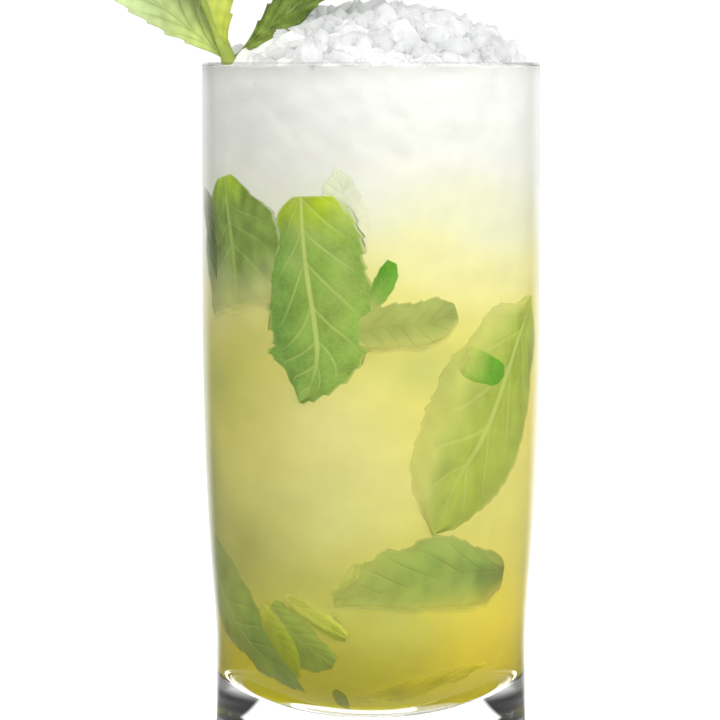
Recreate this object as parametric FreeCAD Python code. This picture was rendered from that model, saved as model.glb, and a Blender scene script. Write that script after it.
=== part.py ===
import FreeCAD, Part
import math
import os
import random

# A long drink with mint: a heavy-based highball glass holds a cloudy lime drink, crushed ice is
# heaped over its rim, and a mint sprig stands in the ice beside the wall.
# Units are millimetres. The origin is the centre of the foot, +Z is up and -Y is the front.

V = FreeCAD.Vector
Z_AXIS = V(0, 0, 1)

# ---- glass: straight above, drawn in below, on a thick base ----
glass_height = 141.0
rim_radius = 34.0            # outside, all the way down the straight upper body
base_radius = 31.3           # outside, of the drawn-in lower body
foot_radius = 28.0           # flat disc that the glass stands on
heel_height = 6.0           # height at which the rounded heel meets the lower body
taper_start = 24.0           # height at which the lower body starts to widen
taper_end = 92.0             # height at which it has the rim's radius
taper_pull_low = 10.0        # how long the wall stays upright at the start of the taper
taper_pull_high = 46.0       # and how early it comes upright again below its end
wall_rim = 1.4               # wall thickness of the straight upper body
wall_base = 2.6              # wall thickness of the lower body
floor_thickness = 10.0       # glass under the middle of the drink
bowl_depth = 23.0            # how far the bowl-shaped floor rises from its middle to the upright wall

# ---- drink and ice ----
drink_level = 118.0          # height of the drink's surface, under the ice
heap_height = 9.5            # how far the body of the heap stands above the rim
heap_sink = 1.5              # how far below the rim the ice lies at the wall
heap_lean = 5.0              # how far the top of the heap is moved to the side away from the sprig
lump_gap = 0.4               # room between a lump of ice and the wall of the glass
lump_size = 4.6              # mean radius of a lump of ice
lump_spread = 0.28           # how uneven the sizes and corners of the lumps are
lump_rings = 4               # rings of lumps from the middle of the heap to its edge
lump_pitch = 7.6             # distance between lumps
lump_reach = 0.86            # outermost ring, as a share of the opening's radius
lump_clear = 0.6             # room between lumps and the leaves of the sprig

# ---- mint sprig ----
sprig_heading = 194.0        # where the stem leaves the ice, in degrees from +X
sprig_gap = 2.8              # room between the stem and the wall of the glass
stem_depth = 20.5            # length of stem down in the ice
stem_radius = 1.35
stem_tip_radius = 0.8
stem_lean = 21.0             # degrees from upright, towards the outside of the glass
node_swell = 0.2             # how much thicker the stem is where leaves grow
leaf_thickness = 0.7         # at the midrib
leaf_edge = 0.25             # at the margin
leaf_teeth = 9               # teeth on each margin
tooth_depth = 0.06           # as a share of the leaf's half width
petiole_length = 1.5
petiole_radius = 0.7

# Each pair of leaves: height of its node along the stem, then its leaves. A leaf is its length, its
# width, its heading (degrees, 0 towards +X, 90 towards the back), its rise above level, its roll about
# the midrib, how far its tip droops and the angle at which each half folds up from the midrib.
leaf_pairs = [
    (1.5, [(50.0, 21.0, 184.0, 39.0, -45.0, 1.0, 22.0),
           (44.0, 19.0, -6.0, 40.0, 46.0, 4.0, 12.0)]),
    (2.0, [(43.0, 17.0, 217.0, 65.0, -14.0, -3.0, 40.0),
           (36.0, 18.0, 118.0, 44.0, 0.0, 7.0, 16.0)]),
    (14.0, [(30.0, 16.0, 152.0, 46.0, 10.0, 6.0, 18.0),
            (28.0, 15.0, 338.0, 54.0, -14.0, 6.0, 18.0)]),
    (22.0, [(17.0, 8.0, 250.0, 64.0, 0.0, 1.0, 26.0),
            (15.0, 7.0, 70.0, 66.0, 0.0, 1.0, 26.0)]),
]

rim_lip = wall_rim / 2.0
inner_radius = rim_radius - wall_rim
inner_base_radius = base_radius - wall_base
sprig_reach = inner_radius - sprig_gap - stem_radius
sprig_x = sprig_reach * math.cos(math.radians(sprig_heading))
sprig_y = sprig_reach * math.sin(math.radians(sprig_heading))


def bezier_edge(points):
    """An edge along the Bezier curve of these poles, each (radius, height), in the XZ plane."""
    curve = Part.BezierCurve()
    curve.setPoles([V(radius, 0, height) for radius, height in points])
    return curve.toShape()


def arc_edge(start, middle, end):
    """An arc through three points, each (radius, height), in the XZ plane."""
    return Part.Arc(*[V(radius, 0, height) for radius, height in (start, middle, end)]).toShape()


def line_edge(start, end):
    return Part.LineSegment(V(start[0], 0, start[1]), V(end[0], 0, end[1])).toShape()


def revolved(edges):
    """The solid made by turning a closed outline in the XZ plane about the Z axis."""
    return Part.Face(Part.Wire(edges)).revolve(V(0, 0, 0), Z_AXIS, 360.0)


def inner_outline():
    """The edges of the inside of the glass, from the middle of its floor up to the taper's end."""
    bowl_top = floor_thickness + bowl_depth
    floor = bezier_edge([(0, floor_thickness),
                         (0.48 * inner_base_radius, floor_thickness),
                         (0.87 * inner_base_radius, floor_thickness + 0.24 * bowl_depth),
                         (inner_base_radius, floor_thickness + 0.54 * bowl_depth),
                         (inner_base_radius, bowl_top)])
    wall = bezier_edge([(inner_base_radius, bowl_top),
                        (inner_base_radius, bowl_top + taper_pull_low),
                        (inner_radius, taper_end - taper_pull_high),
                        (inner_radius, taper_end)])
    return [floor, wall]


def inside_between(low, high):
    """The solid that fills the inside of the glass from one height to another."""
    top = max(high, taper_end) + wall_rim
    edges = inner_outline()
    edges.append(line_edge((inner_radius, taper_end), (inner_radius, top)))
    edges.append(line_edge((inner_radius, top), (0, top)))
    edges.append(line_edge((0, top), (0, floor_thickness)))
    slab = Part.makeCylinder(2 * rim_radius + base_radius, high - low, V(0, 0, low))
    return revolved(edges).common(slab)


def make_glass():
    """Outside from the foot up, over the rounded rim, and down the inside to the floor."""
    lip_height = glass_height - rim_lip
    heel_run = base_radius - foot_radius
    outside = [
        line_edge((0, 0), (foot_radius, 0)),
        bezier_edge([(foot_radius, 0),
                     (foot_radius + 0.62 * heel_run, 0.10 * heel_height),
                     (base_radius, 0.42 * heel_height),
                     (base_radius, heel_height)]),
        line_edge((base_radius, heel_height), (base_radius, taper_start)),
        bezier_edge([(base_radius, taper_start),
                     (base_radius, taper_start + taper_pull_low),
                     (rim_radius, taper_end - taper_pull_high),
                     (rim_radius, taper_end)]),
        line_edge((rim_radius, taper_end), (rim_radius, lip_height)),
    ]
    rim = [
        arc_edge((rim_radius, lip_height), (rim_radius - rim_lip, glass_height),
                 (inner_radius, lip_height)),
        line_edge((inner_radius, lip_height), (inner_radius, taper_end)),
    ]
    axis = [line_edge((0, floor_thickness), (0, 0))]
    return revolved(outside + rim + inner_outline()[::-1] + axis)


def closed_solid(points, faces):
    """A solid bounded by flat faces. Each face is a list of places in the list of points."""
    sides = []
    for face in faces:
        corners = [points[i] for i in face]
        sides.append(Part.Face(Part.makePolygon(corners + [corners[0]])))
    solid = Part.Solid(Part.Shell(sides))
    if solid.Volume < 0:
        solid.reverse()
    return solid


def skinned_solid(sections):
    """A solid through a row of sections, flat at both ends. Each section has as many corners."""
    points = [point for section in sections for point in section]
    corners = len(sections[0])
    faces = [list(range(corners))[::-1]]
    for row in range(len(sections) - 1):
        for i in range(corners):
            a, b = row * corners + i, row * corners + (i + 1) % corners
            faces += [[a, b, b + corners], [a, b + corners, a + corners]]
    last = (len(sections) - 1) * corners
    faces.append(list(range(last, last + corners)))
    return closed_solid(points, faces)


def icosahedron():
    """The twelve corners, at radius 1, and twenty faces of an icosahedron."""
    golden = (1 + math.sqrt(5)) / 2
    corners = []
    for a in (-1, 1):
        for b in (-golden, golden):
            corners += [V(0, a, b), V(a, b, 0), V(b, 0, a)]
    corners = [corner.normalize() for corner in corners]
    edge = 4 / math.sqrt(10 + 2 * math.sqrt(5))
    near = edge * 1.01
    faces = []
    for i in range(12):
        for j in range(i + 1, 12):
            for k in range(j + 1, 12):
                a, b, c = corners[i], corners[j], corners[k]
                if max(a.distanceToPoint(b), b.distanceToPoint(c), c.distanceToPoint(a)) < near:
                    outward = (b - a).cross(c - a).dot(a) > 0
                    faces.append([i, j, k] if outward else [i, k, j])
    return corners, faces


def make_lump(centre, radius, chance):
    """A lump of crushed ice: an icosahedron with uneven corners, stretched and turned by chance."""
    corners, faces = icosahedron()
    stretch = [chance.uniform(1 - lump_spread, 1 + lump_spread) for _ in range(3)]
    turn = FreeCAD.Rotation(chance.uniform(0, 360), chance.uniform(0, 180), chance.uniform(0, 360))
    points = []
    for corner in corners:
        size = radius * chance.uniform(1 - lump_spread / 2, 1 + lump_spread / 2)
        stretched = V(corner.x * stretch[0], corner.y * stretch[1], corner.z * stretch[2])
        points.append(centre + turn.multVec(stretched) * size)
    return closed_solid(points, faces)


def heap_top(x, y):
    """Height of the body of the heap at a place: a low dome whose top lies a little to one side."""
    share = min(1.0, math.hypot(x - heap_lean * (1 - math.hypot(x, y) / inner_radius), y) / inner_radius)
    low = glass_height - heap_sink
    return low + (heap_height + heap_sink) * (1 - share ** 2.6)


def make_heap_body(reach):
    """The body of the heap below its lumps, as wide as reach: a faceted dome down to the drink."""
    rings, sectors = 6, 24
    points = [V(0, 0, heap_top(0, 0))]
    for ring in range(1, rings + 1):
        radius = reach * ring / rings
        for sector in range(sectors):
            angle = 2 * math.pi * sector / sectors
            x, y = radius * math.cos(angle), radius * math.sin(angle)
            points.append(V(x, y, heap_top(x, y)))
    low = drink_level - 2 * lump_size
    for sector in range(sectors):
        angle = 2 * math.pi * sector / sectors
        points.append(V(reach * math.cos(angle), reach * math.sin(angle), low))
    points.append(V(0, 0, low))
    bottom = len(points) - 1

    def place(ring, sector):
        return 1 + (ring - 1) * sectors + sector % sectors

    faces = []
    for sector in range(sectors):
        faces.append([0, place(1, sector), place(1, sector + 1)])
        for ring in range(1, rings + 1):
            a, b = place(ring, sector), place(ring, sector + 1)
            c, d = place(ring + 1, sector), place(ring + 1, sector + 1)
            faces += [[a, c, d], [a, d, b]]
        faces.append([bottom, place(rings + 1, sector + 1), place(rings + 1, sector)])
    return closed_solid(points, faces)


def lump_places(keep_clear):
    """Where lumps lie on the heap: rings of them, shifted by chance, and clear of the sprig."""
    chance = random.Random(11)
    places = []
    for ring in range(lump_rings + 1):
        ring_radius = inner_radius * lump_reach * ring / lump_rings
        count = max(1, round(2 * math.pi * ring_radius / lump_pitch))
        for turn in range(count):
            angle = 2 * math.pi * (turn + chance.uniform(-0.3, 0.3)) / count + ring
            radius = lump_size * chance.uniform(1 - lump_spread, 1 + lump_spread)
            x = ring_radius * math.cos(angle) + chance.uniform(-1, 1)
            y = ring_radius * math.sin(angle) + chance.uniform(-1, 1)
            farthest = inner_radius - lump_gap - radius * (1 + lump_spread)
            along = math.hypot(x, y)
            if along > farthest:
                x, y = x * farthest / along, y * farthest / along
            centre = V(x, y, heap_top(x, y) - radius * chance.uniform(0.0, 0.5))
            reach = radius + lump_clear
            if all(centre.distanceToPoint(point) > reach for point in keep_clear):
                places.append((centre, radius))
    return places


def make_ice(sprig, keep_clear):
    """The crushed ice from the drink's surface up to the heap, with room for the sprig in it."""
    chance = random.Random(5)
    heap = make_heap_body(inner_radius + 3 * lump_size)
    column = inside_between(drink_level, glass_height + heap_height)
    heap = column.common(heap)
    lumps = [make_lump(centre, radius, chance) for centre, radius in lump_places(keep_clear)]
    return heap.multiFuse(lumps).cut(sprig).removeSplitter()


def leaf_half_width(share):
    """Half width of a leaf along its midrib as a share of its widest, from base (0) to tip (1)."""
    return max(0.0, math.sin(math.pi * share ** 0.88)) ** 1.3 * (1 - 0.1 * share)


def leaf_section(length, width, droop, fold, share, tooth):
    """The eight corners of a leaf's cross-section at this share of its length."""
    half = max(width / 2 * leaf_half_width(share) * tooth, petiole_radius)
    thick = leaf_thickness * (1 - 0.45 * share)
    along = petiole_length + length * share
    middle = -droop * share ** 2
    rise = math.tan(math.radians(fold))

    def corner(side, lift):
        across = side * half
        height = middle + rise * abs(across) * (1 - 0.35 * abs(side)) + lift
        return V(along, across, height)

    upper = [corner(side, thick * (1 - abs(side)) / 2 + leaf_edge * abs(side) / 2)
             for side in (-1.0, -0.5, 0.0, 0.5, 1.0)]
    lower = [corner(side, -thick * (1 - abs(side)) / 2 - leaf_edge * abs(side) / 2)
             for side in (1.0, 0.5, 0.0, -0.5, -1.0)]
    return upper + lower


def make_leaf(length, width, droop, fold):
    """A toothed leaf along +X with its upper side up. Its stalk starts at the origin."""
    steps = 2 * leaf_teeth
    sections = [[V(0, point.y, point.z) for point in
                 leaf_section(length, 2 * petiole_radius, 0, 0, 0, 1)]]
    for step in range(steps):
        share = step / steps
        tooth = 1 - tooth_depth * (step % 2)
        sections.append(leaf_section(length, width, droop, fold, share, tooth))
    sections.append(leaf_section(length, 2 * leaf_edge, droop, 0, 1, 1))
    sections[-1] = [sections[-1][0] + (point - sections[-1][0]) * 0.4 for point in sections[-1]]
    return skinned_solid(sections)


def stem_point(along):
    """A point on the stem's middle line. Along is 0 where it leaves the ice."""
    outward = V(sprig_x, sprig_y, 0).normalize()
    lean = math.radians(stem_lean) * max(0.0, min(1.0, (along + stem_depth) / stem_depth))
    root = V(sprig_x, sprig_y, glass_height - heap_sink)
    if along < 0:
        return root + V(0, 0, along)
    return root + (outward * math.sin(lean) + Z_AXIS * math.cos(lean)) * along


def stem_radius_at(along):
    """The stem is even down in the ice and thins evenly above it."""
    share = max(0.0, along) / leaf_pairs[-1][0]
    return stem_radius + (stem_tip_radius - stem_radius) * share


def stem_section(along, radius):
    """The eight corners of the stem's section: a square with its corners cut, across the stem."""
    direction = (stem_point(along + 0.5) - stem_point(along - 0.5)).normalize()
    across = direction.cross(V(sprig_y, -sprig_x, 0)).normalize()
    beside = direction.cross(across)
    corners = []
    for turn in range(8):
        angle = math.radians(45 * turn + 22.5)
        corners.append(stem_point(along) + (across * math.cos(angle) + beside * math.sin(angle)) * radius)
    return corners


def make_stem():
    """The stem from its cut end in the ice to its tip, a little thicker at each node."""
    nodes = [height for height, _ in leaf_pairs]
    rings = [(-stem_depth, stem_radius), (-stem_depth / 2, stem_radius), (-2 * stem_radius, stem_radius)]
    for node, above in zip(nodes, nodes[1:] + [nodes[-1]]):
        rings.append((node, stem_radius_at(node) + node_swell))
        if above - node > 6 * stem_radius:
            rings.append((node + 2 * stem_radius, stem_radius_at(node + 2 * stem_radius)))
            rings.append((above - 2 * stem_radius, stem_radius_at(above - 2 * stem_radius)))
    rings.append((nodes[-1] + 2 * stem_tip_radius, stem_tip_radius / 2))
    sections = [stem_section(along, radius) for along, radius in rings]
    return skinned_solid(sections)


def leaf_turn(heading, rise, roll):
    """Turns a leaf from lying along +X to its heading, its rise and its roll about the midrib."""
    turn = FreeCAD.Rotation(Z_AXIS, heading)
    turn = turn.multiply(FreeCAD.Rotation(V(0, 1, 0), -rise))
    return turn.multiply(FreeCAD.Rotation(V(1, 0, 0), roll))


def make_sprig():
    """The stem with its leaves in pairs. Also returns points along the lowest pair, for clearance."""
    pieces = [make_stem()]
    near = []
    for height, leaves in leaf_pairs:
        root = stem_point(height)
        for length, width, heading, rise, roll, droop, fold in leaves:
            leaf = make_leaf(length, width, droop, fold)
            turn = leaf_turn(heading, rise, roll)
            leaf.Placement = FreeCAD.Placement(root, turn)
            pieces.append(leaf)
            for step in range(9):
                share = step / 8
                half = width / 2 * leaf_half_width(share)
                for side in (-0.8, 0.0, 0.8):
                    local = V(petiole_length + length * share, side * half, -droop * share ** 2)
                    near.append(root + turn.multVec(local))
    return pieces[0].multiFuse(pieces[1:]), near


def check_solid(name, shape):
    """Stops the build if a node isn't one valid closed solid."""
    if len(shape.Solids) != 1 or not shape.isValid():
        raise ValueError(f"{name} has {len(shape.Solids)} solids, valid {shape.isValid()}")
    box = shape.BoundBox
    print(f"{name}: {shape.Volume / 1000:.1f} ml, x {box.XMin:.1f} to {box.XMax:.1f}, "
          f"y {box.YMin:.1f} to {box.YMax:.1f}, z {box.ZMin:.1f} to {box.ZMax:.1f}")
    return shape.Solids[0]


def main():
    os.makedirs("parts", exist_ok=True)
    sprig, near = make_sprig()
    nodes = {
        "glass": make_glass(),
        "drink": inside_between(0, drink_level).cut(sprig),
        "crushed_ice": make_ice(sprig, near),
        "mint_sprig": sprig,
    }
    for name, shape in nodes.items():
        check_solid(name, shape).exportStep(f"parts/{name}.step")


main()
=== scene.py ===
import math
import bpy
import numpy as np
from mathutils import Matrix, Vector


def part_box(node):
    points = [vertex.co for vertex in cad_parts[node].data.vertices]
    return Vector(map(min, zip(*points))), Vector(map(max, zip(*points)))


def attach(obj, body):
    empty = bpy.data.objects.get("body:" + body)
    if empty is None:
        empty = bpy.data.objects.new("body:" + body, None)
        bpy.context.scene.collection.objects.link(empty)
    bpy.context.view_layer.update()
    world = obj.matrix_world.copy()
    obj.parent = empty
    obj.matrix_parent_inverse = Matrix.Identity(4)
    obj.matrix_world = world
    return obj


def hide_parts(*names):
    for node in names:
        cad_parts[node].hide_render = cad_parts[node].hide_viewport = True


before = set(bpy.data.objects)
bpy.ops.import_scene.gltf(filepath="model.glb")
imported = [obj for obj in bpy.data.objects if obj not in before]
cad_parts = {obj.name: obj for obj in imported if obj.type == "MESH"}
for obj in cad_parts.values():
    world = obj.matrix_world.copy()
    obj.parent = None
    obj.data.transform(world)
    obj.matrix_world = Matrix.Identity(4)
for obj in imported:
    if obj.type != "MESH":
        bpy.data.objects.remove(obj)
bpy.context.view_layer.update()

# A mojito in a highball glass. All the makers below work in millimetres and in places of this kind:
# angle goes round the glass in degrees, 0 at the front (-Y) and 90 at the right (+X),
# and drop is how far a place lies under the rim.
mm = 0.001
glassLow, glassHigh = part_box("glass")
rimHeight = glassHigh.z / mm
rimRadius = (glassHigh.x - glassLow.x) / 2 / mm
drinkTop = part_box("drink")[1].z / mm
print("frame loaded: rim", round(rimHeight, 1), "mm high,", round(2 * rimRadius, 1), "mm across")


def paint(*values):
    # a colour given as 0 to 255 values on a screen, turned into the linear values shaders work in
    share = np.array(values, float) / 255
    return np.where(share <= 0.04045, share / 12.92, ((share + 0.055) / 1.055) ** 2.4)


def bezier(poles, count):
    # the Bezier curve of these poles, at evenly spaced parameters: each pole weighted by its Bernstein term
    poles = np.array(poles, float)
    degree = len(poles) - 1
    t = np.linspace(0, 1, count)[:, None]
    k = np.arange(degree + 1)
    weights = np.array([math.comb(degree, i) for i in k]) * t ** k * (1 - t) ** (degree - k)
    return weights @ poles


def waves(points, size, seed, count=14):
    # a smooth uneven field from about -1 to 1: the sum of cosine waves in chance directions, each about size
    # long, over the root of their count
    chance = np.random.default_rng(seed)
    directions = chance.normal(size=(count, 3))
    directions /= np.linalg.norm(directions, axis=1)[:, None]
    numbers = 2 * math.pi / (size * chance.uniform(0.6, 1.6, count))
    phases = chance.uniform(0, 2 * math.pi, count)
    return np.cos(np.asarray(points) @ (directions * numbers[:, None]).T + phases).sum(-1) / math.sqrt(count)


def smooth(value, low, high):
    # 0 below low, 1 above high, and an S-shaped step between
    share = np.clip((value - low) / (high - low), 0, 1)
    return share * share * (3 - 2 * share)


def gridQuads(rows, columns, around=False, flip=False):
    # the four corners of each cell of a grid of points, numbered row by row
    i, j = np.meshgrid(np.arange(rows - 1), np.arange(columns if around else columns - 1), indexing="ij")
    right = (j + 1) % columns
    corners = [i * columns + j, i * columns + right, (i + 1) * columns + right, (i + 1) * columns + j]
    quads = np.stack(corners, -1).reshape(-1, 4)
    return quads[:, ::-1] if flip else quads


def makePiece(name, points, faces, uv=None, tint=None, marks=None):
    # puts points (mm) and faces into a mesh, with a UV and a colour for each point if given
    mesh = bpy.data.meshes.new(name)
    mesh.from_pydata((np.asarray(points) * mm).tolist(), [], [f for part in faces for f in part.tolist()])
    mesh.polygons.foreach_set("use_smooth", np.ones(len(mesh.polygons), bool))
    corners = np.zeros(len(mesh.loops), np.int32)
    mesh.loops.foreach_get("vertex_index", corners)
    if uv is not None:
        layer = mesh.uv_layers.new(name="surface")
        layer.data.foreach_set("uv", np.asarray(uv, np.float32)[corners].ravel())
    if tint is not None:
        layer = mesh.color_attributes.new(name="tint", type="FLOAT_COLOR", domain="POINT")
        layer.data.foreach_set("color", np.asarray(tint, np.float32).ravel())
    if marks is not None:
        layer = mesh.attributes.new(name=marks[0], type="FLOAT", domain="POINT")
        layer.data.foreach_set("value", np.asarray(marks[1], np.float32).ravel())
    mesh.update()
    piece = bpy.data.objects.new(name, mesh)
    bpy.context.collection.objects.link(piece)
    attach(piece, "root")
    return piece


def dress(piece, material, slotName, *nodes):
    piece.data.materials.append(material)
    if nodes:
        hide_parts(*nodes)
    return piece


def turned(radii, heights, segments):
    # a profile carried round the axis: x = r sin a, y = -r cos a; its first and last points are closed poles
    angles = np.arange(segments) * 2 * math.pi / segments
    radii, heights = np.asarray(radii, float), np.asarray(heights, float)
    inner = slice(1, -1)
    ring = np.stack([radii[inner, None] * np.sin(angles), -radii[inner, None] * np.cos(angles),
                     np.broadcast_to(heights[inner, None], (len(radii) - 2, segments))], -1)
    points = np.concatenate([[[0, 0, heights[0]]], ring.reshape(-1, 3), [[0, 0, heights[-1]]]])
    return points, closedFaces(len(radii) - 2, segments)


def closedFaces(rows, segments):
    # the faces of rings between a first and a last pole point
    quads = gridQuads(rows, segments, around=True) + 1
    j = np.arange(segments)
    right = (j + 1) % segments
    lowFan = np.stack([np.zeros(segments, int), 1 + right, 1 + j], -1)
    start = 1 + (rows - 1) * segments
    highFan = np.stack([start + j, start + right, np.full(segments, 1 + rows * segments)], -1)
    return [quads, lowFan, highFan]


def place(angle, drop, radius):
    # a place given by angle, drop and radius as x, y, z
    a = np.radians(angle)
    return np.stack(np.broadcast_arrays(radius * np.sin(a), -radius * np.cos(a), rimHeight - drop), -1)


def newMaterial(name):
    # a material whose one surface shader goes to its output
    material = bpy.data.materials.new(name)
    material.use_nodes = True
    nodes = material.node_tree.nodes
    nodes.clear()
    output = nodes.new("ShaderNodeOutputMaterial")
    surface = nodes.new("ShaderNodeBsdfPrincipled")
    material.node_tree.links.new(surface.outputs[0], output.inputs[0])
    return material, material.node_tree, surface, output


def node(tree, kind, settings=None, **inputs):
    # adds a node; settings are its own values, inputs go to its sockets by name, with _ for a space
    made = tree.nodes.new("ShaderNode" + kind)
    for key, value in (settings or {}).items():
        setattr(made, key, value)
    for key, value in inputs.items():
        numbered = key[0] == "i" and key[1:].isdigit()
        socket = made.inputs[int(key[1:]) if numbered else key.replace("_", " ")]
        if isinstance(value, bpy.types.NodeSocket):
            tree.links.new(value, socket)
        else:
            socket.default_value = value
    return made


def maths(tree, operation, first, second=0.5, third=0.5):
    # one operation on up to three numbers or outputs
    return node(tree, "Math", {"operation": operation}, i0=first, i1=second, i2=third).outputs[0]


def mixColours(tree, share, first, second):
    # share of the second colour and the rest of the first
    made = node(tree, "Mix", {"data_type": "RGBA"})
    for socket, value in ((made.inputs[0], share), (made.inputs[6], first), (made.inputs[7], second)):
        if isinstance(value, bpy.types.NodeSocket):
            tree.links.new(value, socket)
        else:
            socket.default_value = value
    return made.outputs[2]


def mixShaders(tree, share, first, second, output=None):
    # share of the second surface and the rest of the first, joined to the output if it is given
    mix = node(tree, "MixShader", i0=share)
    tree.links.new(first.outputs[0], mix.inputs[1])
    tree.links.new(second.outputs[0], mix.inputs[2])
    if output:
        tree.links.new(mix.outputs[0], output.inputs[0])
    return mix


def roughen(tree, surface, height, strength, distance):
    # fine relief from a height value; distance is in millimetres
    bump = node(tree, "Bump", Strength=strength, Distance=distance * mm, Height=height)
    tree.links.new(bump.outputs[0], surface.inputs["Normal"])


def rgba(colour):
    # a colour with an alpha of 1
    return (*[float(c) for c in colour[:3]], 1.0)


def objectNoise(tree, size, detail=3.0, roughness=0.55):
    # noise over the piece itself, its lumps about size millimetres across
    coordinates, scale = node(tree, "TexCoord").outputs["Object"], 1 / (size * mm)
    return node(tree, "TexNoise", Vector=coordinates, Scale=scale, Detail=detail, Roughness=roughness)


def stepped(tree, value, low, high, outLow=0.0, outHigh=1.0):
    # an S-shaped step from outLow, where the value is low, to outHigh, where it is high
    made = node(tree, "MapRange", {"interpolation_type": "SMOOTHSTEP"}, Value=value)
    for key, number in (("From Min", low), ("From Max", high), ("To Min", outLow), ("To Max", outHigh)):
        made.inputs[key].default_value = number
    return made.outputs["Result"]


paintedBaseGlow = {
    # the thick clear base gathers light, so what lies low in the drink is given a painted glow: emission
    # standing in for that light
    "strength": 0.42,
    "ends": 28.0,            # height above the foot where it begins
    "full": 10.0,            # and where it has its full strength
}


def paintGlowLow(tree, surface, colour, share):
    # the painted glow's strength rises from 0 at one height to its full value at a lower one
    s = paintedBaseGlow
    height = node(tree, "SeparateXYZ", Vector=node(tree, "TexCoord").outputs["Object"]).outputs[2]
    gathered = stepped(tree, height, s["ends"] * mm, s["full"] * mm, 0.0, s["strength"] * share)
    tree.links.new(colour, surface.inputs["Emission Color"])
    tree.links.new(gathered, surface.inputs["Emission Strength"])


cameraSettings = {
    "distance": 900.0,       # from the glass's axis
    "aside": -2.2,           # the camera stands a little to the left, so the glass stands right of centre
    "aimDrop": 60.0,         # the middle of the view is this far under the rim
    "lens": 223.4,
}


def makeCamera(settings):
    data = bpy.data.cameras.new("camera")
    data.lens = settings["lens"]
    data.sensor_width = 36.0
    data.clip_end = 50.0
    camera = bpy.data.objects.new("camera", data)
    bpy.context.collection.objects.link(camera)
    camera.location = (settings["aside"] * mm, -settings["distance"] * mm, rimHeight * mm)
    camera.rotation_euler = (math.pi / 2 - math.atan2(settings["aimDrop"], settings["distance"]), 0, 0)
    bpy.context.scene.camera = camera


lightSettings = {
    "worldStrength": 1.0,
    "backdrop": 1.05,        # how bright the camera itself sees the world
    "mirrored": 0.2,         # how much of the world and the floor is seen in reflections of the front
    "behind": (0.93, 0.72),  # how straight backwards a direction is, from where it counts as behind
    "low": (0.35, 0.1),      # how steep it is, from where it counts as low
    "lamps": {
        # name: place (m), size (m), power (W)
        "keyLamp": ((-0.95, -0.80, 0.65), 0.6, 6.4),
        "fillLamp": ((0.95, -0.85, 0.50), 0.6, 7.8),
        "topLamp": ((0.1, 0.5, 1.0), 0.6, 3.0),
    },
    "lampAim": 0.6,          # the lamps point at this share of the glass's height
    "cardSlope": 0.32,       # the tangent of the angle from straight back where the dark cards begin
    "cardSoft": 0.004,       # how soft their edge is (m)
    "cardNear": (0.034, 0.038),  # the ring round the glass in which they lie (m): from here
    "cardFar": (0.12, 0.09),     # to here
    "cardTone": 0.02,
    "floorTone": 0.88,
    "floorGlow": 0.16,
    "tableGlow": 1.0,        # how much more the floor glows right under the glass
    "tableReach": (0.075, 0.030),
    "floorHalf": 4.0,        # half the floor's width (m)
    "floorUnder": 0.2,       # how far it lies under the foot (mm)
}


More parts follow.
